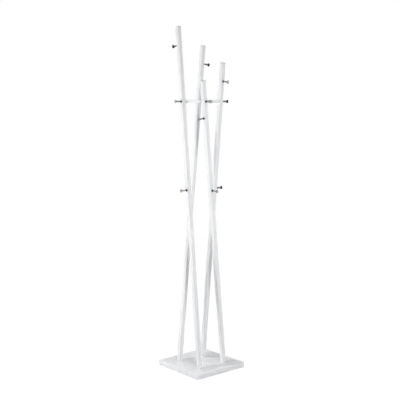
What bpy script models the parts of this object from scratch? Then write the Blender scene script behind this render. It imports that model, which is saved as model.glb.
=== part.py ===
"""Standing coat rack.

Four leaning posts of square steel tube stand on a square stone slab. The posts lean round the
compass, each one along its own side of the slab, so that they pass one another like the sticks of a
wigwam and spread again above. A small square ring of tube ties them together near the top. Every post
carries three turned chromed pegs. The tops step down from post 1 to post 4.

Units are metres and +Z is up. The origin is on the floor, under the middle of the slab.
Post 1 has its foot at (-x, -y) and leans towards +Y. Posts 2, 3 and 4 are the same arrangement turned
by a further quarter turn clockwise seen from above, so they lean towards +X, -Y and -X.
"""

import math

import bmesh
import bpy
from mathutils import Matrix

# ---------------------------------------------------------------- driving dimensions
GAP = 0.0003  # room left between pieces that touch

PAD_RADIUS = 0.011
PAD_THICK = 0.0012
PAD_PLACE = 0.128  # of a pad's centre from the slab's middle, along X and along Y

SLAB_SIDE = 0.300
SLAB_THICK = 0.025
SLAB_ARRIS = 0.0012
SLAB_HOLE_R = 0.0046
COUNTERBORE_R = 0.0115
COUNTERBORE_DEPTH = 0.0125

FOOT_PLACE = 0.0767  # of a post's axis from the slab's middle, at the slab's top
LEAN_SLOPE = 0.097  # sideways travel of a post for each unit of height
LEAN = math.atan(LEAN_SLOPE)

POST_SIDE = 0.020
POST_WALL = 0.0015
POST_CORNER = 0.0020
POST_LENGTH = (1.6465, 1.5628, 1.4758, 1.3896)  # along the axis, end cap included
PEG_BELOW_TOP = (0.089, 0.089, 0.089, 0.178)  # of the upper pegs, along the axis: the last one clears the ring

CAP_HEAD = 0.0035
CAP_PLUG = 0.0140

RING_HEIGHT = 1.2847  # of the ring's middle above the slab
RING_SIDE = 0.015
RING_WALL = 0.0012
RING_CORNER = 0.0015

MIDDLE_HEIGHT = 0.8618  # of the middle pegs above the slab

PEG_SEGMENTS = 16
PEG_LENGTH = 0.0370
PEG_HEAD_R = 0.0080
PEG_HEAD_RIM = 0.0022  # the head's cylindrical rim
PEG_HEAD_CONE = 0.0034  # the cone behind the rim, down to the stem
PEG_STEM_R = 0.0034
PEG_COLLAR_R = 0.0054
PEG_COLLAR_LENGTH = 0.0060
STUD_R = 0.0025
STUD_SHORT = 0.0105
STUD_LONG = 0.0285

RIVET_SEGMENTS = 12
RIVET_FLANGE_R = 0.0042
RIVET_FLANGE = 0.0008
RIVET_BODY_R = 0.0032
RIVET_BULGE_R = 0.0044
RIVET_BORE_R = 0.0029
RIVET_LENGTH = 0.0100
RIVET_HOLE_R = 0.0036
STUD_HOLE_R = 0.0031

RING_NUT_SIDE = 0.0090
RING_NUT_THICK = 0.0050

FOOT_BLOCK_HEIGHT = 0.022
BOLT_HEAD_R = 0.0065
BOLT_HEAD_H = 0.0080
BOLT_SHANK_R = 0.0039
BOLT_SHANK = 0.0300
BOLT_SOCKET_AF = 0.0060
BOLT_HOLE_R = 0.0043
WASHER_R = 0.0100
WASHER_BORE_R = 0.0043
WASHER_THICK = 0.0016

SLAB_BOTTOM = PAD_THICK + GAP
SLAB_TOP = SLAB_BOTTOM + SLAB_THICK
FOOT_Z = SLAB_TOP + GAP
RING_OUTER = FOOT_PLACE - POST_SIDE / 2 - GAP  # half of the ring's outer side

# ---------------------------------------------------------------- a clean scene
for stale in list(bpy.data.objects):
    bpy.data.objects.remove(stale, do_unlink=True)

SCENE = bpy.context.scene
RACK = bpy.data.collections.new("standing_coat_rack")
CUTTERS = bpy.data.collections.new("cutters")
SCENE.collection.children.link(RACK)
SCENE.collection.children.link(CUTTERS)


# ---------------------------------------------------------------- materials
def material(name, colour, roughness, metallic=0.0):
    made = bpy.data.materials.new(name)
    made.use_nodes = True
    shader = made.node_tree.nodes["Principled BSDF"]
    shader.inputs["Base Color"].default_value = (*colour, 1.0)
    shader.inputs["Roughness"].default_value = roughness
    shader.inputs["Metallic"].default_value = metallic
    made.diffuse_color = (*colour, 1.0)
    return made


WHITE_PAINT = material("white_powder_coat", (0.86, 0.87, 0.88), 0.38)
STONE = material("white_marble", (0.82, 0.83, 0.84), 0.22)
CHROME = material("chrome", (0.62, 0.63, 0.65), 0.08, 1.0)
CAP_PLASTIC = material("cap_plastic", (0.72, 0.73, 0.74), 0.5)
PAD_RUBBER = material("pad_rubber", (0.55, 0.55, 0.56), 0.85)
ZINC_STEEL = material("zinc_plated_steel", (0.56, 0.57, 0.58), 0.35, 1.0)


# ---------------------------------------------------------------- building helpers
def empty(name, parent=None, location=(0, 0, 0), rotation=(0, 0, 0)):
    made = bpy.data.objects.new(name, None)
    RACK.objects.link(made)
    made.parent = parent
    made.location = location
    made.rotation_euler = rotation
    return made


def place(name, mesh, finish, parent=None, location=(0, 0, 0), rotation=(0, 0, 0)):
    """One named sub-part in the rack's collection. Its mesh may be shared with others of its kind."""
    if not mesh.materials:
        mesh.materials.append(finish)
    made = bpy.data.objects.new(name, mesh)
    RACK.objects.link(made)
    made.parent = parent
    made.location = location
    made.rotation_euler = rotation
    return made


def cutter(name, mesh, parent=None, location=(0, 0, 0), rotation=(0, 0, 0)):
    made = bpy.data.objects.new(name, mesh)
    CUTTERS.objects.link(made)
    made.parent = parent
    made.location = location
    made.rotation_euler = rotation
    made.hide_render = True
    made.display_type = "WIRE"
    return made


def cut(body, tool):
    trimmed = body.modifiers.new("cut_" + tool.name, "BOOLEAN")
    trimmed.operation = "DIFFERENCE"
    trimmed.solver = "EXACT"
    trimmed.object = tool
    return trimmed


def rounded(body, width, segments):
    edge = body.modifiers.new("rounded_edges", "BEVEL")
    edge.width = width
    edge.segments = segments
    edge.limit_method = "ANGLE"
    edge.angle_limit = math.radians(40)
    return edge


def settled(body):
    """The mesh of an object with its modifiers applied, shaded smooth except at its sharp edges."""
    bpy.context.view_layer.update()
    graph = bpy.context.evaluated_depsgraph_get()
    made = bpy.data.meshes.new_from_object(body.evaluated_get(graph))
    made.shade_smooth()
    made.set_sharp_from_angle(angle=math.radians(35))
    return made


def turned(name, profile, segments):
    """A body of revolution about Z. The profile lists (radius, height) down the outer side."""
    line = bpy.data.meshes.new(name + "_profile")
    sketch = bmesh.new()
    points = [sketch.verts.new((radius, 0.0, height)) for radius, height in profile]
    for first, second in zip(points, points[1:]):
        sketch.edges.new((first, second))
    if profile[0][0] > 0:  # a bored piece has a closed section clear of the axis
        sketch.edges.new((points[-1], points[0]))
    sketch.to_mesh(line)
    sketch.free()
    spun = bpy.data.objects.new(name + "_spun", line)
    CUTTERS.objects.link(spun)
    screw = spun.modifiers.new("turn", "SCREW")
    screw.axis = "Z"
    screw.angle = math.tau
    screw.steps = screw.render_steps = segments
    screw.use_merge_vertices = True
    screw.merge_threshold = 0.00001
    made = settled(spun)
    made.name = name
    bpy.data.objects.remove(spun, do_unlink=True)
    return made


def box(name, size, centre=(0, 0, 0)):
    made = bpy.data.meshes.new(name)
    form = bmesh.new()
    bmesh.ops.create_cube(form, size=1.0)
    bmesh.ops.scale(form, vec=size, verts=form.verts)
    bmesh.ops.translate(form, vec=centre, verts=form.verts)
    form.to_mesh(made)
    form.free()
    return made


def rod(name, radius, length, segments):
    """A plain round bar along Z, centred on the origin."""
    made = bpy.data.meshes.new(name)
    form = bmesh.new()
    bmesh.ops.create_cone(
        form, cap_ends=True, segments=segments, radius1=radius, radius2=radius, depth=length
    )
    form.to_mesh(made)
    form.free()
    return made


def square_tube(name, side, wall, corner, segments, low, high):
    """A square tube along Z with rounded corners, open at both ends: the four walls as an open skin,
    rounded along their shared edges and thickened inwards."""
    skin = bpy.data.meshes.new(name + "_skin")
    form = bmesh.new()
    bmesh.ops.create_cube(form, size=1.0)
    bmesh.ops.scale(form, vec=(side, side, high - low), verts=form.verts)
    bmesh.ops.translate(form, vec=(0, 0, (low + high) / 2), verts=form.verts)
    ends = [face for face in form.faces if abs(face.normal.z) > 0.5]
    bmesh.ops.delete(form, geom=ends, context="FACES_ONLY")
    form.to_mesh(skin)
    form.free()
    walls = bpy.data.objects.new(name + "_walls", skin)
    CUTTERS.objects.link(walls)
    rounded(walls, corner, segments)
    shell = walls.modifiers.new("wall", "SOLIDIFY")
    shell.thickness = wall
    shell.offset = -1.0
    shell.use_even_offset = True
    made = settled(walls)
    made.name = name
    bpy.data.objects.remove(walls, do_unlink=True)
    return made


# ---------------------------------------------------------------- slab and floor pads
slab = place("base_slab", box("slab", (SLAB_SIDE, SLAB_SIDE, SLAB_THICK)), STONE,
             location=(0, 0, SLAB_BOTTOM + SLAB_THICK / 2))
rounded(slab, SLAB_ARRIS, 2)

pad_mesh = turned("pad", [(0, PAD_THICK), (PAD_RADIUS - 0.0002, PAD_THICK), (PAD_RADIUS, PAD_THICK - 0.0002),
                          (PAD_RADIUS, 0), (0, 0)], 16)
hole_mesh = turned("bolt_hole", [
    (0, SLAB_TOP + 0.005), (SLAB_HOLE_R, SLAB_TOP + 0.005), (SLAB_HOLE_R, SLAB_BOTTOM + COUNTERBORE_DEPTH),
    (COUNTERBORE_R, SLAB_BOTTOM + COUNTERBORE_DEPTH), (COUNTERBORE_R, -0.005), (0, -0.005)], 20)

# ---------------------------------------------------------------- turned and small shared pieces
collar_end = PEG_COLLAR_LENGTH
rim_start = PEG_LENGTH - PEG_HEAD_RIM
cone_start = rim_start - PEG_HEAD_CONE
recess_r = RIVET_FLANGE_R + 0.0004
recess_end = GAP + RIVET_FLANGE + GAP + 0.0001


def peg_profile(stud):
    """From the middle of the head's face down over rim, cone, stem and collar to the tip of the stud.
    The height is measured outwards from the face of the post."""
    return [
        (0.0, PEG_LENGTH),
        (PEG_HEAD_R - 0.0010, PEG_LENGTH - 0.0002),
        (PEG_HEAD_R, PEG_LENGTH - 0.0010),
        (PEG_HEAD_R, rim_start + 0.0004),
        (PEG_HEAD_R - 0.0006, rim_start - 0.0003),
        (PEG_STEM_R + 0.0007, cone_start),
        (PEG_STEM_R, cone_start - 0.0010),
        (PEG_STEM_R, collar_end + 0.0006),
        (PEG_COLLAR_R - 0.0006, collar_end),
        (PEG_COLLAR_R, collar_end - 0.0006),
        (PEG_COLLAR_R, GAP),
        (recess_r, GAP),
        (recess_r, recess_end),
        (STUD_R, recess_end),
        (STUD_R, -stud),
        (0.0, -stud),
    ]


short_peg = turned("short_stud_peg", peg_profile(STUD_SHORT), PEG_SEGMENTS)
long_peg = turned("long_stud_peg", peg_profile(STUD_LONG), PEG_SEGMENTS)

bulge_top = -POST_WALL - GAP
rivet = turned("rivet_nut", [
    (RIVET_FLANGE_R, GAP + RIVET_FLANGE), (RIVET_FLANGE_R, GAP), (RIVET_BODY_R, GAP),
    (RIVET_BODY_R, bulge_top), (RIVET_BULGE_R, bulge_top - 0.0006), (RIVET_BULGE_R, bulge_top - 0.0020),
    (RIVET_BODY_R, bulge_top - 0.0026), (RIVET_BODY_R, -RIVET_LENGTH), (RIVET_BORE_R, -RIVET_LENGTH),
    (RIVET_BORE_R, GAP + RIVET_FLANGE)], RIVET_SEGMENTS)

washer = turned("washer", [(WASHER_R, WASHER_THICK), (WASHER_R, 0), (WASHER_BORE_R, 0),
                           (WASHER_BORE_R, WASHER_THICK)], 16)
bolt_mesh = turned("bolt", [
    (0, BOLT_HEAD_H + BOLT_SHANK), (BOLT_SHANK_R - 0.0008, BOLT_HEAD_H + BOLT_SHANK),
    (BOLT_SHANK_R, BOLT_HEAD_H + BOLT_SHANK - 0.0010), (BOLT_SHANK_R, BOLT_HEAD_H),
    (BOLT_HEAD_R, BOLT_HEAD_H), (BOLT_HEAD_R, 0.0006), (BOLT_HEAD_R - 0.0006, 0), (0, 0)], 16)
socket_mesh = rod("bolt_socket", BOLT_SOCKET_AF / math.sqrt(3), 0.008, 6)

# The end cap: a head flush with the post and a plug of square lamellas. A profile turned in four steps
# gives a square section, whose corner radius is the half side times the square root of two.
corner_to_side = math.sqrt(2)
plug_in = (POST_SIDE / 2 - POST_WALL - 0.0014) * corner_to_side
plug_out = (POST_SIDE / 2 - POST_WALL - GAP - 0.0003) * corner_to_side
lamella = []
for step in range(3):
    top = -0.0022 - 0.0040 * step
    lamella += [(plug_in, top), (plug_out, top - 0.0004), (plug_out, top - 0.0012), (plug_in, top - 0.0018)]
plug_mesh = turned("cap_plug", [(0, 0.0020), (plug_in, 0.0020)] + lamella
                   + [(plug_in, -CAP_PLUG), (0, -CAP_PLUG)], 4)
plug_mesh.transform(Matrix.Rotation(math.radians(45), 4, "Z"))


def cap_mesh():
    """Head and plug as one moulding: the head starts as a thick sheet with rounded corners and edges."""
    head = bpy.data.objects.new("cap_head", box("cap_head", (POST_SIDE, POST_SIDE, CAP_HEAD), (0, 0, CAP_HEAD / 2)))
    CUTTERS.objects.link(head)
    weighted = head.data.attributes.new("bevel_weight_edge", "FLOAT", "EDGE")
    for edge in head.data.edges:
        ends = [head.data.vertices[i].co for i in edge.vertices]
        upright = abs(ends[0].z - ends[1].z) > 1e-6
        top = min(ends[0].z, ends[1].z) > CAP_HEAD / 2
        weighted.data[edge.index].value = 1.0 if upright else (0.45 if top else 0.0)
    bevel = head.modifiers.new("corners", "BEVEL")
    bevel.limit_method = "WEIGHT"
    bevel.width = POST_CORNER
    bevel.segments = 3
    plug = cutter("cap_plug_join", plug_mesh)
    join = head.modifiers.new("join_plug", "BOOLEAN")
    join.operation = "UNION"
    join.solver = "EXACT"
    join.object = plug
    made = settled(head)
    made.name = "end_cap"
    bpy.data.objects.remove(head, do_unlink=True)
    bpy.data.objects.remove(plug, do_unlink=True)
    return made


end_cap = cap_mesh()

# ---------------------------------------------------------------- cutters shared by all posts
below_foot = cutter("below_the_feet", box("below_the_feet", (0.4, 0.4, 0.06)),
                    location=(0, 0, FOOT_Z - 0.03))
OUTWARDS = (0, math.radians(-90), 0)  # a peg's axis turned to the post's own -X, its outer side
LEANWARDS = (math.radians(-90), 0, 0)  # a peg's axis turned to the post's own +Y, the side it leans to
rivet_hole = rod("rivet_hole", RIVET_HOLE_R, 0.016, 16)
stud_hole = rod("stud_hole", STUD_HOLE_R, 0.060, 16)


def along(height):
    """Distance along a post's axis to a point at this height above the slab."""
    return (height - GAP) / math.cos(LEAN)


for index in range(4):
    number = index + 1
    quarter = -index * math.pi / 2
    corner = empty(f"corner_{number}", rotation=(0, 0, quarter))
    leaning = empty(f"post_axis_{number}", parent=corner, location=(-FOOT_PLACE, -FOOT_PLACE, FOOT_Z),
                    rotation=(-LEAN, 0, 0))

    # floor pad under the slab's corner, and the bolt through the slab into the post's foot
    place(f"floor_pad_{number}", pad_mesh, PAD_RUBBER, parent=corner, location=(-PAD_PLACE, -PAD_PLACE, 0))
    cut(slab, cutter(f"bolt_hole_{number}", hole_mesh, parent=corner, location=(-FOOT_PLACE, -FOOT_PLACE, 0)))
    seat = SLAB_BOTTOM + COUNTERBORE_DEPTH - GAP
    place(f"foot_washer_{number}", washer, ZINC_STEEL, parent=corner,
          location=(-FOOT_PLACE, -FOOT_PLACE, seat - WASHER_THICK))
    bolt = place(f"foot_bolt_{number}", bolt_mesh.copy(), ZINC_STEEL, parent=corner,
                 location=(-FOOT_PLACE, -FOOT_PLACE, seat - WASHER_THICK - GAP - BOLT_HEAD_H))
    cut(bolt, cutter(f"bolt_socket_{number}", socket_mesh, parent=bolt, location=(0, 0, 0)))

    # the post: a tube cut level at its foot and square at its top
    tube_end = POST_LENGTH[index] - CAP_HEAD - GAP
    post = place(f"post_{number}", square_tube(f"post_{number}", POST_SIDE, POST_WALL, POST_CORNER, 3, -0.02, tube_end),
                 WHITE_PAINT, parent=leaning)
    cut(post, below_foot)
    place(f"end_cap_{number}", end_cap, CAP_PLASTIC, parent=leaning, location=(0, 0, POST_LENGTH[index] - CAP_HEAD))

    # the threaded block welded inside the foot
    inside = POST_SIDE - 2 * POST_WALL - 2 * GAP
    block = place(f"foot_block_{number}",
                  box(f"foot_block_{number}", (inside, inside, FOOT_BLOCK_HEIGHT + 0.01), (0, 0, (FOOT_BLOCK_HEIGHT - 0.01) / 2)),
                  ZINC_STEEL, parent=leaning)
    rounded(block, 0.0012, 1)
    cut(block, below_foot)
    cut(block, cutter(f"thread_{number}", rod(f"thread_{number}", BOLT_HOLE_R, 0.12, 16), parent=corner,
                      location=(-FOOT_PLACE, -FOOT_PLACE, FOOT_Z)))

    # three pegs: one on the side the post leans to, two on its outer side
    face = POST_SIDE / 2
    upper = POST_LENGTH[index] - PEG_BELOW_TOP[index]
    middle = along(MIDDLE_HEIGHT)
    ring_level = along(RING_HEIGHT)
    place(f"upper_peg_{number}", short_peg, CHROME, parent=leaning, location=(0, face, upper), rotation=LEANWARDS)
    place(f"middle_peg_{number}", short_peg, CHROME, parent=leaning, location=(-face, 0, middle), rotation=OUTWARDS)
    place(f"ring_peg_{number}", long_peg, CHROME, parent=leaning, location=(-face, 0, ring_level), rotation=OUTWARDS)
    place(f"upper_rivet_nut_{number}", rivet, ZINC_STEEL, parent=leaning, location=(0, face, upper), rotation=LEANWARDS)
    place(f"middle_rivet_nut_{number}", rivet, ZINC_STEEL, parent=leaning, location=(-face, 0, middle), rotation=OUTWARDS)
    cut(post, cutter(f"upper_hole_{number}", rivet_hole, parent=leaning, location=(0, face, upper), rotation=LEANWARDS))
    cut(post, cutter(f"middle_hole_{number}", rivet_hole, parent=leaning, location=(-face, 0, middle), rotation=OUTWARDS))
    through = cutter(f"ring_hole_{number}", stud_hole, parent=leaning, location=(0, 0, ring_level), rotation=OUTWARDS)
    cut(post, through)

    # this post's bar of the ring lies against its inner side, mitred to meet the next bars
    ring_z = SLAB_TOP + RING_HEIGHT
    bar = place(f"ring_bar_{number}",
                square_tube(f"ring_bar_{number}", RING_SIDE, RING_WALL, RING_CORNER, 2, -RING_OUTER - 0.01, RING_OUTER + 0.01),
                WHITE_PAINT, parent=corner, location=(-RING_OUTER + RING_SIDE / 2, 0, ring_z),
                rotation=(math.radians(-90), 0, 0))
    for end in (1, -1):
        reach = 0.08
        offset = RING_OUTER - GAP / 2 * corner_to_side
        mitre = box(f"mitre_{number}_{end}", (reach, reach, 0.04))
        mitre.transform(Matrix.Rotation(math.radians(45), 4, "Z"))
        # the blade's corner side lies on the line from the ring's outer corner towards its middle
        shift = reach / 2 * corner_to_side / 2
        blade = cutter(f"mitre_{number}_{'a' if end > 0 else 'b'}", mitre, parent=corner,
                       location=(-offset + shift, end * (offset + shift), ring_z))
        cut(bar, blade)
    cut(bar, cutter(f"ring_bar_hole_{number}", rod("bar_hole", STUD_HOLE_R, 0.008, 16), parent=leaning,
                    location=(face + GAP, 0, ring_level), rotation=OUTWARDS))
    nut_face = face + GAP + RING_WALL + GAP
    nut = place(f"ring_nut_{number}", box(f"ring_nut_{number}", (RING_NUT_THICK, RING_NUT_SIDE, RING_NUT_SIDE)),
                ZINC_STEEL, parent=corner,
                location=(-FOOT_PLACE + nut_face + RING_NUT_THICK / 2, -FOOT_PLACE + LEAN_SLOPE * (RING_HEIGHT - GAP), ring_z))
    cut(nut, cutter(f"nut_thread_{number}", rod("nut_thread", RIVET_BORE_R, 0.03, 16), parent=nut,
                    rotation=OUTWARDS))
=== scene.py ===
import math

import bmesh
import bpy
import numpy as np
from mathutils import Matrix, Vector


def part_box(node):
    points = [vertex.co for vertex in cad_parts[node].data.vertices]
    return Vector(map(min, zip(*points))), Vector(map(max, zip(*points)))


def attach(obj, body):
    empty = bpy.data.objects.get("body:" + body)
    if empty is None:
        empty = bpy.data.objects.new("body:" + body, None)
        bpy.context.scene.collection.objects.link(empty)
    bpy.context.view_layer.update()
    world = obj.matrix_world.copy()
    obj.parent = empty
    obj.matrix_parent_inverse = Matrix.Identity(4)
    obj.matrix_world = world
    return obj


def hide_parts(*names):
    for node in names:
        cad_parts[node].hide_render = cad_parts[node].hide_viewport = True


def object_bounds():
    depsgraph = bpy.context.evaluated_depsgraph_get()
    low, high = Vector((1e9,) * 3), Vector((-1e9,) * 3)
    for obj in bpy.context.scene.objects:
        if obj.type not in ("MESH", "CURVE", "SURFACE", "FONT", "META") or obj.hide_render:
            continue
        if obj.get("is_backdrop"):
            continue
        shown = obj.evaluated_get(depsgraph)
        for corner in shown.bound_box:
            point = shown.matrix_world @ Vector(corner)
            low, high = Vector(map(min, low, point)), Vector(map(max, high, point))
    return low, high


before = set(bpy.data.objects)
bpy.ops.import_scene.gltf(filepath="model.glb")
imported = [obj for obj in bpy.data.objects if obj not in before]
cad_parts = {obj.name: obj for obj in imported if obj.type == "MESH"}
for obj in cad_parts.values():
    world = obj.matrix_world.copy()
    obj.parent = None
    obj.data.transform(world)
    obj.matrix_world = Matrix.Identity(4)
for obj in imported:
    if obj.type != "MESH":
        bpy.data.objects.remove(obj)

# Looks of the standing coat rack. Every piece is built where its CAD node lies: the dimensions below
# are the design's own, and stands_for() stops the script if a piece leaves its node's box.

SCENE = bpy.context.scene
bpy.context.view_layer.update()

GAP = 0.0003
FOOT_PLACE = 0.0767
LEAN = math.atan(0.097)
POST_SIDE, POST_WALL, POST_CORNER = 0.020, 0.0015, 0.0020
POST_LENGTH = (1.6465, 1.5628, 1.4758, 1.3896)
PEG_BELOW_TOP = (0.089, 0.089, 0.089, 0.178)
CAP_HEAD, CAP_PLUG = 0.0035, 0.0140
RING_HEIGHT, RING_SIDE, RING_CORNER = 1.2847, 0.015, 0.0015
MIDDLE_HEIGHT = 0.8618
SLAB_LOW, SLAB_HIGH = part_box("base_slab")
SLAB_BOTTOM, SLAB_TOP = SLAB_LOW.z, SLAB_HIGH.z
SLAB_ARRIS = 0.0012
FOOT_Z = SLAB_TOP + GAP
COUNTERBORE_R, COUNTERBORE_DEPTH, SLAB_HOLE_R = 0.0115, 0.0125, 0.0046
PAD_PLACE, PAD_R, PAD_THICK = 0.128, 0.011, 0.0012
RING_OUTER = FOOT_PLACE - POST_SIDE / 2 - GAP


def post_matrix(index):
    """The leaning axis frame of one post: Z along the post, Y the side it leans to, -X its outer side."""
    return (Matrix.Rotation(-index * math.pi / 2, 4, "Z") @ Matrix.Translation((-FOOT_PLACE, -FOOT_PLACE, FOOT_Z))
            @ Matrix.Rotation(-LEAN, 4, "X"))


def corner_matrix(index):
    return Matrix.Rotation(-index * math.pi / 2, 4, "Z")


# ---------------------------------------------------------------- mesh building
def softened(corners, steps=5):
    """A profile whose corners are rounded. corners are (r, z, radius); the radius is 0 for a sharp one."""
    line = []
    for i, (r, z, radius) in enumerate(corners):
        here = Vector((r, z))
        if radius <= 0 or i in (0, len(corners) - 1):
            line.append((r, z))
            continue
        before = Vector(corners[i - 1][:2]) - here
        after = Vector(corners[i + 1][:2]) - here
        turn = before.angle(after)
        reach = min(radius / math.tan(turn / 2), 0.48 * before.length, 0.48 * after.length)
        radius = reach * math.tan(turn / 2)
        start, end = here + before.normalized() * reach, here + after.normalized() * reach
        middle = here + (before.normalized() + after.normalized()).normalized() * (radius / math.sin(turn / 2))
        a, b = start - middle, end - middle
        sweep = a.angle_signed(b)
        for k in range(steps + 1):
            angle = -sweep * k / steps
            turned_a = Vector((a.x * math.cos(angle) - a.y * math.sin(angle), a.x * math.sin(angle) + a.y * math.cos(angle)))
            line.append(tuple(middle + turned_a))
    return line


def turned(profile, segments):
    """Points and faces of a body turned about Z. The profile runs down the outer side, from axis to axis,
    or round a closed section when the piece is bored."""
    points, faces, rings = [], [], []
    for r, z in profile:
        if r < 1e-7:
            rings.append([len(points)])
            points.append((0.0, 0.0, z))
            continue
        rings.append(list(range(len(points), len(points) + segments)))
        points += [(r * math.cos(math.tau * k / segments), r * math.sin(math.tau * k / segments), z) for k in range(segments)]
    pairs = list(zip(rings, rings[1:]))
    if profile[0][0] > 1e-7:
        pairs.append((rings[-1], rings[0]))
    for above, below in pairs:
        for k in range(segments):
            n = (k + 1) % segments
            if len(above) == 1:
                faces.append((above[0], below[k], below[n]))
            elif len(below) == 1:
                faces.append((above[k], below[0], above[n]))
            else:
                faces.append((above[k], below[k], below[n], above[n]))
    return points, faces


def rounded_square(half, radius, steps):
    """A square outline with round corners, anticlockwise, with steps + 1 points to each corner."""
    outline = []
    for quarter in range(4):
        base = quarter * math.pi / 2
        cx, cy = (half - radius) * math.sqrt(2) * math.cos(base + math.pi / 4), (half - radius) * math.sqrt(2) * math.sin(base + math.pi / 4)
        for k in range(steps + 1):
            angle = base + (math.pi / 2) * k / steps
            outline.append((cx + radius * math.cos(angle), cy + radius * math.sin(angle)))
    return outline


def skinned(rings, closed=False, cap_first=True, cap_last=True):
    """Points and faces through a row of rings with the same number of points. closed joins the last to the first."""
    points = [p for ring in rings for p in ring]
    n = len(rings[0])
    faces = []
    for i in range(len(rings) if closed else len(rings) - 1):
        a, b = i * n, ((i + 1) % len(rings)) * n
        for k in range(n):
            m = (k + 1) % n
            faces.append((a + k, a + m, b + m, b + k))
    if not closed and cap_first:
        faces.append(tuple(reversed(range(n))))
    if not closed and cap_last:
        faces.append(tuple(range((len(rings) - 1) * n, len(rings) * n)))
    return points, faces


def piece(name, shape, finish, matrix=None, smooth=32):
    """An object whose points are in the row's frame, with its faces turned outwards."""
    points, faces = shape
    mesh = bpy.data.meshes.new(name)
    mesh.from_pydata([tuple(p) for p in points], [], [tuple(f) for f in faces])
    form = bmesh.new()
    form.from_mesh(mesh)
    bmesh.ops.recalc_face_normals(form, faces=form.faces)
    if form.calc_volume(signed=True) < 0:
        bmesh.ops.reverse_faces(form, faces=form.faces)
    form.to_mesh(mesh)
    form.free()
    if matrix is not None:
        mesh.transform(matrix)
    mesh.materials.append(finish)
    made = bpy.data.objects.new(name, mesh)
    SCENE.collection.objects.link(made)
    if smooth:
        mesh.shade_smooth()
        mesh.set_sharp_from_angle(angle=math.radians(smooth))
    return made


def carved(body, tools, smooth=32):
    """Cuts the tools from the body, removes them and leaves the body with one plain mesh."""
    for tool in tools:
        modifier = body.modifiers.new("cut", "BOOLEAN")
        modifier.operation, modifier.solver, modifier.object = "DIFFERENCE", "EXACT", tool
    bpy.context.view_layer.update()
    graph = bpy.context.evaluated_depsgraph_get()
    mesh = bpy.data.meshes.new_from_object(body.evaluated_get(graph))
    body.modifiers.clear()
    body.data = mesh
    for tool in tools:
        bpy.data.objects.remove(tool, do_unlink=True)
    mesh.name = body.name
    while len(mesh.materials) > 1:
        mesh.materials.pop(index=len(mesh.materials) - 1)
    mesh.shade_smooth()
    mesh.set_sharp_from_angle(angle=math.radians(smooth))
    return body


def stands_for(made, slot, *nodes, within=0.0004):
    """The piece rides on the rack, takes the place of these nodes, and must fill their box."""
    low = Vector([min(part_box(n)[0][i] for n in nodes) for i in range(3)])
    high = Vector([max(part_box(n)[1][i] for n in nodes) for i in range(3)])
    here = np.array([v.co for v in made.data.vertices])
    off = max(abs(here.min(0) - np.array(low)).max(), abs(here.max(0) - np.array(high)).max())
    if off > within:
        raise RuntimeError(f"{made.name} is {1000 * off:.2f} mm off the box of {nodes[0]}")
    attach(made, "root")
    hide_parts(*nodes)
    return made


# ---------------------------------------------------------------- materials
class Finish:
    """A Principled material that is built up from procedural nodes."""

    def __init__(self, name, **constants):
        self.material = bpy.data.materials.new(name)
        self.material.use_nodes = True
        self.tree = self.material.node_tree
        self.shader = self.tree.nodes["Principled BSDF"]
        for socket, value in constants.items():
            self.shader.inputs[socket.replace("_", " ")].default_value = value
        where = self.tree.nodes.new("ShaderNodeTexCoord")
        self.place = where.outputs["Object"]

    def node(self, kind, inputs=None, **settings):
        made = self.tree.nodes.new(kind)
        for key, value in settings.items():
            setattr(made, key, value)
        for socket, value in (inputs or {}).items():
            if isinstance(value, bpy.types.NodeSocket):
                self.tree.links.new(value, made.inputs[socket])
            else:
                made.inputs[socket].default_value = value
        return made

    def noise(self, scale, detail=2.0, roughness=0.5, distortion=0.0, place=None):
        made = self.node("ShaderNodeTexNoise", {"Vector": place or self.place, "Scale": scale, "Detail": detail,
                                                "Roughness": roughness, "Distortion": distortion})
        return made.outputs["Fac"]

    def mapped(self, value, low, high, to_low, to_high, kind="LINEAR"):
        made = self.node("ShaderNodeMapRange", {"Value": value, "From Min": low, "From Max": high,
                                                "To Min": to_low, "To Max": to_high}, interpolation_type=kind)
        made.clamp = True
        return made.outputs["Result"]

    def math(self, operation, a, b=0.0):
        made = self.node("ShaderNodeMath", {0: a, 1: b}, operation=operation)
        return made.outputs[0]

    def blend(self, factor, a, b, kind="MIX"):
        made = self.node("ShaderNodeMix", data_type="RGBA", blend_type=kind)
        for socket, value in (("Factor", factor), ("A", a), ("B", b)):
            target = next(s for s in made.inputs if s.name == socket and s.enabled)
            if isinstance(value, bpy.types.NodeSocket):
                self.tree.links.new(value, target)
            else:
                target.default_value = value
        return next(s for s in made.outputs if s.enabled)

    def stretched(self, scale, turn=(0, 0, 0)):
        made = self.node("ShaderNodeMapping", {"Vector": self.place, "Rotation": turn, "Scale": scale})
        return made.outputs["Vector"]

    def colour(self, value):
        self.tree.links.new(value, self.shader.inputs["Base Color"])

    def rough(self, value):
        self.tree.links.new(value, self.shader.inputs["Roughness"])

    def bump(self, *layers):
        """layers are (height, strength, distance in metres)."""
        normal = None
        for height, strength, distance in layers:
            made = self.node("ShaderNodeBump", {"Height": height, "Strength": strength, "Distance": distance})
            if normal is not None:
                self.tree.links.new(normal, made.inputs["Normal"])
            normal = made.outputs["Normal"]
        self.tree.links.new(normal, self.shader.inputs["Normal"])


def powder_coat():
    f = Finish("white_powder_coat", IOR=1.5)
    cloud = f.noise(9.0, 3.0, 0.55)
    fine = f.noise(420.0, 2.0, 0.6)
    tone = f.blend(f.mapped(cloud, 0.35, 0.65, 0.0, 1.0), (0.850, 0.858, 0.870, 1), (0.872, 0.880, 0.890, 1))
    f.colour(f.blend(f.mapped(fine, 0.30, 0.42, 0.25, 0.0), tone, (0.815, 0.822, 0.835, 1)))
    f.rough(f.mapped(cloud, 0.3, 0.7, 0.40, 0.50))
    peel = f.noise(900.0, 2.0, 0.45)
    f.bump((peel, 0.35, 0.00012), (fine, 0.2, 0.00010))
    return f.material


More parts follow.
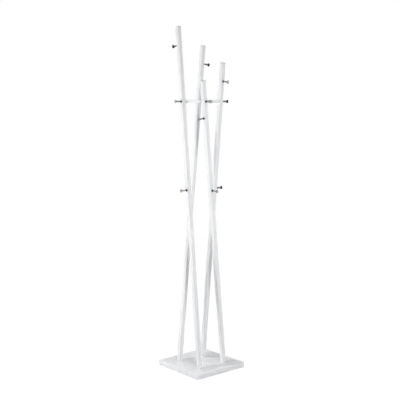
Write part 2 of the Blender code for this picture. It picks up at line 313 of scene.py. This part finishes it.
def marble():
    """Honed white marble: clouds of pale grey, and thin veins that wander along the slab."""
    f = Finish("white_marble", IOR=1.49)
    turn = (0.25, 0.15, math.radians(24))
    bed = f.stretched((5.5, 13.0, 9.0), turn)
    warp = f.node("ShaderNodeTexNoise", {"Vector": bed, "Scale": 1.1, "Detail": 5.0, "Roughness": 0.55})
    shifted = f.node("ShaderNodeVectorMath", {0: warp.outputs["Color"], 1: (0.5, 0.5, 0.5)}, operation="SUBTRACT")
    pushed = f.node("ShaderNodeVectorMath", {0: shifted.outputs[0], "Scale": 1.5}, operation="SCALE")
    wander = f.node("ShaderNodeVectorMath", {0: bed, 1: pushed.outputs[0]}, operation="ADD").outputs[0]
    cloud = f.noise(1.0, 6.0, 0.62, 0.3, wander)
    thin = f.math("ABSOLUTE", f.math("SUBTRACT", f.noise(0.75, 4.0, 0.5, 0.0, wander), 0.5))
    veins = f.mapped(thin, 0.0, 0.030, 1.0, 0.0, "SMOOTHSTEP")
    hair = f.math("ABSOLUTE", f.math("SUBTRACT", f.noise(2.3, 3.0, 0.5, 0.2, wander), 0.5))
    hairs = f.mapped(hair, 0.0, 0.014, 1.0, 0.0, "SMOOTHSTEP")
    grain = f.noise(700.0, 2.0, 0.6)
    tone = f.blend(f.mapped(cloud, 0.36, 0.66, 0.0, 1.0), (0.897, 0.906, 0.924, 1), (0.950, 0.957, 0.968, 1))
    tone = f.blend(f.math("MULTIPLY", veins, f.mapped(cloud, 0.40, 0.62, 0.75, 0.15)), tone, (0.700, 0.712, 0.735, 1))
    tone = f.blend(f.math("MULTIPLY", hairs, 0.28), tone, (0.780, 0.788, 0.800, 1))
    f.colour(f.blend(f.mapped(grain, 0.35, 0.65, 0.10, 0.0), tone, (0.87, 0.875, 0.88, 1)))
    f.rough(f.mapped(cloud, 0.3, 0.7, 0.36, 0.26))
    f.bump((grain, 0.10, 0.00005), (veins, 0.08, 0.00006))
    f.shader.inputs["Subsurface Weight"].default_value = 0.06
    f.shader.inputs["Subsurface Radius"].default_value = (1.0, 0.95, 0.9)
    f.shader.inputs["Subsurface Scale"].default_value = 0.004
    return f.material


def chrome():
    f = Finish("bright_chrome", Metallic=1.0)
    film = f.noise(260.0, 3.0, 0.5)
    f.colour(f.blend(f.mapped(film, 0.35, 0.65, 0.0, 1.0), (0.54, 0.55, 0.565, 1), (0.60, 0.61, 0.622, 1)))
    f.rough(f.mapped(film, 0.35, 0.70, 0.055, 0.12))
    f.bump((f.noise(150.0, 1.0, 0.4), 0.04, 0.0001))
    return f.material


def painted_shade_metal():
    """Painted shade: a near-black metal laid on the foot of each peg and the back of its head, which sit in shade and
    mirror the dark room.
    """
    f = Finish("painted_shade_peg_metal", Metallic=0.6, IOR=1.5)
    film = f.noise(300.0, 3.0, 0.5)
    f.colour(f.blend(f.mapped(film, 0.35, 0.65, 0.0, 1.0), (0.010, 0.0105, 0.011, 1), (0.018, 0.0185, 0.019, 1)))
    f.rough(f.mapped(film, 0.35, 0.70, 0.38, 0.50))
    f.bump((film, 0.08, 0.0001))
    return f.material


def cap_plastic():
    f = Finish("cap_plastic", IOR=1.46)
    grain = f.noise(1300.0, 2.0, 0.55)
    flow = f.noise(60.0, 2.0, 0.5)
    f.colour(f.blend(f.mapped(flow, 0.35, 0.65, 0.0, 1.0), (0.655, 0.662, 0.672, 1), (0.690, 0.697, 0.705, 1)))
    f.rough(f.mapped(grain, 0.3, 0.7, 0.46, 0.58))
    f.bump((grain, 0.35, 0.00006))
    return f.material


def pad_rubber():
    f = Finish("pad_rubber", IOR=1.5)
    grain = f.noise(800.0, 3.0, 0.6)
    dust = f.noise(90.0, 3.0, 0.6)
    f.colour(f.blend(f.mapped(dust, 0.40, 0.70, 0.0, 1.0), (0.43, 0.43, 0.435, 1), (0.52, 0.52, 0.52, 1)))
    f.rough(f.mapped(dust, 0.3, 0.7, 0.78, 0.92))
    f.bump((grain, 0.4, 0.00012))
    return f.material


def zinc_steel():
    f = Finish("zinc_plated_steel", Metallic=1.0)
    spangle = f.node("ShaderNodeTexVoronoi", {"Vector": f.place, "Scale": 700.0}).outputs["Distance"]
    film = f.noise(180.0, 3.0, 0.55)
    f.colour(f.blend(f.mapped(film, 0.35, 0.65, 0.0, 1.0), (0.50, 0.52, 0.545, 1), (0.585, 0.585, 0.570, 1)))
    f.rough(f.mapped(film, 0.3, 0.7, 0.28, 0.42))
    f.bump((spangle, 0.10, 0.00006))
    return f.material


# the near-black peg metal is painted shade for the feet of the pegs and the backs of their heads
WHITE, STONE, CHROME, PAINTED_SHADE_METAL = powder_coat(), marble(), chrome(), painted_shade_metal()
PLASTIC, RUBBER, ZINC = cap_plastic(), pad_rubber(), zinc_steel()

# ---------------------------------------------------------------- the slab, its pads and its bolts
half = SLAB_HIGH.x
middle_z, thick = (SLAB_BOTTOM + SLAB_TOP) / 2, SLAB_TOP - SLAB_BOTTOM


def eased_block(steps=4):
    """The slab's block with a small round arris all round: outlines that step in over the bottom and the top."""
    rings = []
    for k in range(steps + 1):
        angle = math.pi / 2 * k / steps
        inset, up = SLAB_ARRIS * (1 - math.sin(angle)), SLAB_ARRIS * (1 - math.cos(angle))
        rings.append([(x, y, SLAB_BOTTOM + up) for x, y in rounded_square(half - inset, SLAB_ARRIS - inset * 0.5, steps)])
    for k in range(steps + 1):
        angle = math.pi / 2 * k / steps
        inset, down = SLAB_ARRIS * (1 - math.cos(angle)), SLAB_ARRIS * (1 - math.sin(angle))
        rings.append([(x, y, SLAB_TOP - down) for x, y in rounded_square(half - inset, SLAB_ARRIS - inset * 0.5, steps)])
    return skinned(rings)


slab = piece("marble_slab", eased_block(), STONE, smooth=0)
bores = []
for i in range(4):
    step_z = SLAB_BOTTOM + COUNTERBORE_DEPTH
    bore = softened([(0, SLAB_TOP + 0.005, 0), (SLAB_HOLE_R, SLAB_TOP + 0.005, 0), (SLAB_HOLE_R, step_z, 0),
                     (COUNTERBORE_R, step_z, 0), (COUNTERBORE_R, SLAB_BOTTOM + 0.0006, 0),
                     (COUNTERBORE_R + 0.0011, SLAB_BOTTOM - 0.0005, 0), (COUNTERBORE_R + 0.0011, -0.005, 0), (0, -0.005, 0)])
    bores.append(piece(f"bore_{i}", turned(bore, 56), STONE, corner_matrix(i) @ Matrix.Translation((-FOOT_PLACE, -FOOT_PLACE, 0)), smooth=0))
carved(slab, bores, smooth=24)
stands_for(slab, "marble", "base_slab")

pad_line = softened([(0, PAD_THICK, 0), (PAD_R, PAD_THICK, 0.00015), (PAD_R, 0, 0.00035), (0, 0, 0)], 4)
WASHER_T, BOLT_HEAD = 0.0016, 0.0080
seat = SLAB_BOTTOM + COUNTERBORE_DEPTH - GAP
washer_line = [(0.0100, WASHER_T - 0.0001), (0.0100, 0.0003), (0.0098, 0.0), (0.0045, 0.0), (0.0043, 0.0002), (0.0043, WASHER_T), (0.0099, WASHER_T)]
BOLT_TIP = BOLT_HEAD + 0.0300
thread = []
turns = 20
for k in range(turns):  # shallow rings stand for the thread
    low = BOLT_HEAD + 0.0060 + k * (0.0230 / turns)
    thread = [(0.0039, low + 0.0007, 0), (0.00345, low + 0.00035, 0)] + thread
bolt_line = softened([(0, BOLT_TIP, 0), (0.0031, BOLT_TIP, 0), (0.0039, BOLT_TIP - 0.0008, 0)] + thread
                     + [(0.0039, BOLT_HEAD + 0.0055, 0), (0.0039, BOLT_HEAD, 0), (0.0065, BOLT_HEAD, 0.0002),
                        (0.0065, 0.0, 0.0007), (0.0040, 0.0, 0), (0, 0, 0)], 4)


def hexagon(across, low, high):
    radius = across / math.sqrt(3)
    return skinned([[(radius * math.cos(math.radians(60 * k)), radius * math.sin(math.radians(60 * k)), z) for k in range(6)]
                    for z in (low, high)])


for i in range(4):
    n = i + 1
    corner = corner_matrix(i)
    foot = Matrix.Translation((-FOOT_PLACE, -FOOT_PLACE, 0))
    stands_for(piece(f"rubber_pad_{n}", turned(pad_line, 48), RUBBER, corner @ Matrix.Translation((-PAD_PLACE, -PAD_PLACE, 0))),
               "pad_rubber", f"floor_pad_{n}")
    stands_for(piece(f"bolt_washer_{n}", turned(washer_line, 56), ZINC, corner @ foot @ Matrix.Translation((0, 0, seat - WASHER_T))),
               "zinc_steel", f"foot_washer_{n}")
    place = corner @ foot @ Matrix.Translation((0, 0, seat - WASHER_T - GAP - BOLT_HEAD))
    bolt = piece(f"socket_bolt_{n}", turned(bolt_line, 40), ZINC, place, smooth=0)
    carved(bolt, [piece("socket", hexagon(0.0060, -0.001, 0.0040), ZINC, place, smooth=0)], smooth=30)
    stands_for(bolt, "zinc_steel", f"foot_bolt_{n}")


# ---------------------------------------------------------------- posts and their end caps
def hollow_post(length):
    """A drawn square tube, cut level at its foot and square at its top, with its cut edges slightly eased."""
    steps, ease = 6, 0.00025
    outer, inner = rounded_square(POST_SIDE / 2, POST_CORNER, steps), rounded_square(POST_SIDE / 2 - POST_WALL, POST_CORNER - POST_WALL + 0.0003, steps)
    eased = rounded_square(POST_SIDE / 2 - ease, POST_CORNER - ease, steps)
    level = lambda outline, up: [(x, y, y * math.tan(LEAN) + up) for x, y in outline]
    flat = lambda outline, z: [(x, y, z) for x, y in outline]
    return skinned([level(eased, 0.0), level(outer, ease), flat(outer, length - ease), flat(eased, length),
                    flat(inner, length), level(inner, 0.0)], closed=True)


def cap_shape():
    """The moulded cap: a softly crowned head over a plug whose lamellas grip the tube."""
    steps = 6
    flat = lambda half, radius, z: [(x, y, z) for x, y in rounded_square(half, max(radius, 0.0002), steps)]
    side, top = POST_SIDE / 2, CAP_HEAD
    rings = []
    plug_in, plug_out = side - POST_WALL - 0.0014, side - POST_WALL - GAP - 0.0003
    rings.append(flat(plug_in - 0.0006, 0.0008, -CAP_PLUG))
    rings.append(flat(plug_in, 0.0010, -CAP_PLUG + 0.0006))
    for k in reversed(range(3)):
        level = -0.0022 - 0.0040 * k
        rings += [flat(plug_in, 0.0010, level - 0.0018), flat(plug_out, 0.0010, level - 0.0012),
                  flat(plug_out, 0.0010, level - 0.0004), flat(plug_in, 0.0010, level)]
    rings.append(flat(plug_in, 0.0010, 0.0))
    rings.append(flat(side - 0.00020, POST_CORNER - 0.0002, 0.0))
    rings.append(flat(side, POST_CORNER, 0.00020))
    edge = 0.0011
    for k in range(6):
        angle = math.pi / 2 * k / 5
        inset = edge * (1 - math.cos(angle))
        rings.append(flat(side - inset, POST_CORNER - inset * 0.55, top - 0.00035 - edge * (1 - math.sin(angle))))
    for k in range(1, 6):
        share = k / 6
        rings.append(flat((side - edge) * (1 - share), (POST_CORNER - edge * 0.55) * (1 - share), top - 0.00035 * (1 - share) ** 2))
    points, faces = skinned(rings, cap_last=False)
    n = len(rings[-1])
    points.append((0.0, 0.0, top))
    last = len(points) - 1
    start = last - n
    faces += [(start + k, start + (k + 1) % n, last) for k in range(n)]
    return points, faces


# ---------------------------------------------------------------- turned pegs
PEG_LENGTH, STUD_R, COLLAR_TOP = 0.0370, 0.0025, 0.0061
HEAD_BACK, HEAD_EDGE = PEG_LENGTH - 0.0064, PEG_LENGTH - 0.0007
COLLAR_R, STEM_R, HEAD_R = 0.0054, 0.0034, 0.0080


def peg_shape(stud, segments=56):
    """A peg along Z from the face it stands on: head, cone, stem, collar with its recess, and stud."""
    top = PEG_LENGTH
    line = softened([
        (0.0, top, 0), (0.0042, top - 0.00006, 0.020), (HEAD_R - 0.0001, top - 0.0003, 0.0006), (HEAD_R, top - 0.0017, 0.0006),
        (STEM_R + 0.0006, top - 0.0057, 0.0024), (STEM_R, 0.0062, 0.0007), (COLLAR_R, 0.0060, 0.0006), (COLLAR_R, GAP, 0.0002),
        (0.0046, GAP, 0), (0.0046, 0.0015, 0), (STUD_R, 0.0015, 0), (STUD_R, -stud + 0.0004, 0), (STUD_R - 0.0004, -stud, 0), (0.0, -stud, 0)], 5)
    return turned(line, segments)


def turned_peg(name, shape, matrix):
    """The peg: chrome on its stem and the face of its head; its collar, its stud and the back of its head get the
    near-black metal, painted shade.
    """
    made = piece(name, shape, CHROME, None)
    # painted shade: faces below the collar top and on the back of the head take the near-black metal
    made.data.materials.append(PAINTED_SHADE_METAL)
    for polygon in made.data.polygons:
        along = polygon.center.z
        polygon.material_index = int(along < COLLAR_TOP or HEAD_BACK < along < HEAD_EDGE)
    made.data.transform(matrix)
    return made


SHORT, LONG = peg_shape(0.0105), peg_shape(0.0285)
OUTWARDS = Matrix.Rotation(math.radians(-90), 4, "Y")
LEANWARDS = Matrix.Rotation(math.radians(-90), 4, "X")
cap = cap_shape()
for i in range(4):
    n = i + 1
    axis = post_matrix(i)
    face = POST_SIDE / 2
    length = POST_LENGTH[i] - CAP_HEAD - GAP
    upper = POST_LENGTH[i] - PEG_BELOW_TOP[i]
    middle, ring = ((h - GAP) / math.cos(LEAN) for h in (MIDDLE_HEIGHT, RING_HEIGHT))
    post = piece(f"leaning_post_{n}", hollow_post(length), WHITE, axis, smooth=0)
    rod = lambda radius, low, high: turned([(0, high), (radius, high), (radius, low), (0, low)], 32)
    tools = [piece("tool_a", rod(0.0036, -0.006, 0.008), WHITE, axis @ Matrix.Translation((0, face, upper)) @ LEANWARDS, 0),
             piece("tool_b", rod(0.0036, -0.006, 0.008), WHITE, axis @ Matrix.Translation((-face, 0, middle)) @ OUTWARDS, 0),
             piece("tool_c", rod(0.0031, -0.026, 0.008), WHITE, axis @ Matrix.Translation((-face, 0, ring)) @ OUTWARDS, 0)]
    carved(post, tools, smooth=24)
    stands_for(post, "white_powder_coat", f"post_{n}")
    stands_for(piece(f"moulded_cap_{n}", cap, PLASTIC, axis @ Matrix.Translation((0, 0, POST_LENGTH[i] - CAP_HEAD))), "cap_plastic", f"end_cap_{n}")
    stands_for(turned_peg(f"turned_upper_peg_{n}", SHORT, axis @ Matrix.Translation((0, face, upper)) @ LEANWARDS), "chrome", f"upper_peg_{n}")
    stands_for(turned_peg(f"turned_middle_peg_{n}", SHORT, axis @ Matrix.Translation((-face, 0, middle)) @ OUTWARDS), "chrome", f"middle_peg_{n}")
    stands_for(turned_peg(f"turned_ring_peg_{n}", LONG, axis @ Matrix.Translation((-face, 0, ring)) @ OUTWARDS), "chrome", f"ring_peg_{n}")


# ---------------------------------------------------------------- the welded ring
def ring_shape():
    """Square tube mitred and welded into a square frame. Each corner has several sections, so that the mitre's
    outer edge is ground to a small radius."""
    steps, ground = 5, 0.0009
    side = RING_SIDE / 2
    centre = RING_OUTER - side
    level = SLAB_TOP + RING_HEIGHT
    section = rounded_square(side, RING_CORNER, steps)
    rings = []
    for quarter in range(4):
        base = quarter * math.pi / 2 + math.pi / 4
        for k in range(5):
            swing = (k / 4 - 0.5) * math.pi / 2  # from one bar's direction to the next
            ring = []
            for u, w in section:
                # the corner point of the mitre, pulled back on an arc where it lies towards the outside
                radius = ground * max(0.0, (u + side) / (2 * side)) + 0.00005
                reach = (centre + u - radius) * math.sqrt(2)
                direction = base + swing
                x = reach * math.cos(base) + radius * math.cos(direction)
                y = reach * math.sin(base) + radius * math.sin(direction)
                ring.append((x, y, level + w))
            rings.append(ring)
    return skinned(rings, closed=True)


welded_ring = piece("welded_ring", ring_shape(), WHITE, smooth=28)
stands_for(welded_ring, "white_powder_coat", "ring_bar_1", "ring_bar_2", "ring_bar_3", "ring_bar_4")

# ---------------------------------------------------------------- pieces that stay as the CAD has them
shown = {"foot_block": (ZINC, "zinc_steel"), "rivet_nut": (ZINC, "zinc_steel"), "ring_nut": (ZINC, "zinc_steel")}
for name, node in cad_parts.items():
    for kind, (finish, slot_name) in shown.items():
        if kind in name:
            node.data.materials.clear()
            node.data.materials.append(finish)

# ---------------------------------------------------------------- floor, light and camera
floor_mesh = bpy.data.meshes.new("studio_floor")
form = bmesh.new()
bmesh.ops.create_circle(form, cap_ends=True, segments=96, radius=3.6)
form.to_mesh(floor_mesh)
form.free()
floor = bpy.data.objects.new("studio_floor", floor_mesh)
floor.location = (0, 0, -0.0002)
SCENE.collection.objects.link(floor)
paper = Finish("studio_paper", Roughness=0.95)
paper.shader.inputs["Specular IOR Level"].default_value = 0.0
path = paper.node("ShaderNodeLightPath").outputs
seen = path["Is Camera Ray"]
# the sheet is plain white where it is looked at, no brighter, or its glare would eat the edges of the posts;
# it gives some light back to the rack, and is dark in its polished pegs
unseen = paper.blend(path["Is Glossy Ray"], (0.65, 0.65, 0.65, 1), (0.07, 0.07, 0.07, 1))
paper.colour(paper.blend(seen, unseen, paper.blend(paper.noise(3.0, 2.0), (0.010, 0.010, 0.010, 1), (0.014, 0.014, 0.014, 1))))
paper.shader.inputs["Emission Color"].default_value = (1, 1, 1, 1)
paper.tree.links.new(paper.math("MULTIPLY", seen, 1.0), paper.shader.inputs["Emission Strength"])
floor_mesh.materials.append(paper.material)
floor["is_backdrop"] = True

FRONT = 229.5  # compass angle of the camera seen from the rack, in degrees from +X


def compass(angle, up=0.0):
    return Vector((math.cos(math.radians(angle)), math.sin(math.radians(angle)), up))


def studio_world():
    """The room round the rack. Matt surfaces are lit by pale walls at the sides and behind. Polished ones mirror
    a room that is dark in front and overhead, with a pale band at eye level. The camera sees white paper."""
    world = bpy.data.worlds.new("studio")
    SCENE.world = world
    world.use_nodes = True
    tree = world.node_tree
    tree.nodes.clear()
    new, link = tree.nodes.new, tree.links.new
    unit = new("ShaderNodeVectorMath")
    unit.operation = "NORMALIZE"
    link(new("ShaderNodeTexCoord").outputs["Generated"], unit.inputs[0])
    split = new("ShaderNodeSeparateXYZ")
    link(unit.outputs[0], split.inputs[0])
    height = split.outputs["Z"]

    def ranged(value, low, high, to_low, to_high):
        made = new("ShaderNodeMapRange")
        made.interpolation_type = "SMOOTHSTEP"
        link(value, made.inputs["Value"])
        for socket, number in (("From Min", low), ("From Max", high), ("To Min", to_low), ("To Max", to_high)):
            made.inputs[socket].default_value = number
        return made.outputs["Result"]

    def towards(angle):
        made = new("ShaderNodeVectorMath")
        made.operation = "DOT_PRODUCT"
        link(unit.outputs[0], made.inputs[0])
        made.inputs[1].default_value = compass(angle)
        return made.outputs["Value"]

    def two(operation, a, b):
        made = new("ShaderNodeMath")
        made.operation = operation
        for i, value in enumerate((a, b)):
            if isinstance(value, bpy.types.NodeSocket):
                link(value, made.inputs[i])
            else:
                made.inputs[i].default_value = value
        return made.outputs[0]

    def background(strength, colour):
        made = new("ShaderNodeBackground")
        made.inputs["Color"].default_value = colour
        if isinstance(strength, bpy.types.NodeSocket):
            link(strength, made.inputs["Strength"])
        else:
            made.inputs["Strength"].default_value = strength
        return made.outputs[0]

    def either(factor, first, second):
        made = new("ShaderNodeMixShader")
        link(factor, made.inputs[0])
        link(first, made.inputs[1])
        link(second, made.inputs[2])
        return made.outputs[0]

    matt = ranged(height, 0.35, 0.90, WALLS, 0.0)
    for angle, low, high, strength in LOBES:
        matt = two("ADD", matt, ranged(towards(angle), low, high, 0.0, strength))
    matt = two("MULTIPLY", matt, ranged(height, -0.02, 0.02, 0.0, 1.0))

    level = two("ABSOLUTE", height, 0.0)
    band = ranged(level, 0.15, 0.32, MIRROR_BAND, MIRROR_HIGH)
    ahead = ranged(towards(FRONT), 0.18, 0.62, 1.0, 0.0)
    polished = two("ADD", two("MULTIPLY", band, ahead), MIRROR_DARK)

    path = new("ShaderNodeLightPath")
    cool = (0.985, 0.992, 1.0, 1)
    lit = either(path.outputs["Is Glossy Ray"], background(matt, cool), background(polished, cool))
    seen = either(path.outputs["Is Camera Ray"], lit, background(1.0, (1, 1, 1, 1)))
    link(seen, new("ShaderNodeOutputWorld").inputs["Surface"])


WALLS = 0.08
LOBES = ((49.5, -0.2, 0.3, 0.48),)
MIRROR_BAND, MIRROR_HIGH, MIRROR_DARK = 0.85, 0.05, 0.010
studio_world()


def softbox(name, place, aim, size, power):
    """A lamp that lights the rack, and that the polished pegs don't mirror."""
    data = bpy.data.lights.new(name, "AREA")
    data.shape, data.size, data.size_y, data.energy = "RECTANGLE", size[0], size[1], power
    data.color = (1.0, 1.0, 1.0)
    made = bpy.data.objects.new(name, data)
    made.location = place
    made.rotation_euler = (Vector(aim) - Vector(place)).to_track_quat("-Z", "Y").to_euler()
    SCENE.collection.objects.link(made)
    made.visible_camera = False
    made.visible_glossy = False
    return made




def beside(name, angle, height, reach, size, power):
    """A lamp at this compass angle and height that shines level at the rack's axis."""
    softbox(name, reach * compass(angle) + Vector((0, 0, height)), (0, 0, height), size, power)


beside("left_key", 160.0, 1.30, 1.6, (0.16, 0.16), 9.7)
beside("left_high", 168.0, 1.50, 1.6, (0.16, 0.16), 1.2)
beside("left_mid", 168.0, 0.50, 1.6, (0.16, 0.16), 3.0)
beside("left_low", 156.0, 0.25, 1.6, (0.16, 0.16), 1.9)
beside("left_strip_low", 159.5, 0.25, 1.6, (0.33, 0.40), 1.8)
beside("front_strip_low", 244.5, 0.50, 1.6, (0.30, 0.40), 2.65)
beside("front_strip_high", 244.5, 1.30, 1.6, (0.30, 0.40), 10.3)
beside("far_panel_high", 95.0, 1.30, 1.5, (0.60, 0.50), 8.1)
beside("far_panel_low", 135.0, 0.30, 1.5, (0.60, 0.50), 1.9)
beside("right_panel_low", 285.0, 0.30, 1.5, (0.60, 0.50), 3.2)
beside("right_panel_high", 305.0, 1.30, 1.5, (0.60, 0.50), 1.9)
beside("side_panel_low", 325.0, 0.30, 1.5, (0.60, 0.50), 1.8)
softbox("front_ceiling", (-1.1, -1.2, 2.6), (0, 0, 0), (1.4, 1.4), 2.4)
softbox("right_ceiling", (0.7, -1.4, 2.6), (0, 0, 0), (1.4, 1.4), 5.0)
softbox("overhead", (-0.3, 0.2, 2.9), (0, 0, 0), (0.9, 0.9), 4.6)

camera_data = bpy.data.cameras.new("camera")
camera_data.sensor_width, camera_data.lens = 36.0, 74.3764
camera_data.clip_start, camera_data.clip_end = 0.1, 60.0
camera = bpy.data.objects.new("camera", camera_data)
side_vector = Vector((0.7611329098770919, -0.6485955323431446, 0.0007272733622071206))
up_vector = Vector((0.07865654512084116, 0.09341710188111484, 0.9925151852671001))
back_vector = Vector((-0.6438088547167424, -0.7553787662495195, 0.12211911434198226))
camera.matrix_world = Matrix.Translation((-2.594380415344491, -3.0329708937096718, 1.3260469717919752)) @ Matrix(
    (side_vector, up_vector, back_vector)).transposed().to_4x4()
SCENE.collection.objects.link(camera)
SCENE.camera = camera
SCENE.view_settings.view_transform = "Standard"
SCENE.view_settings.look = "None"

low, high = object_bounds()
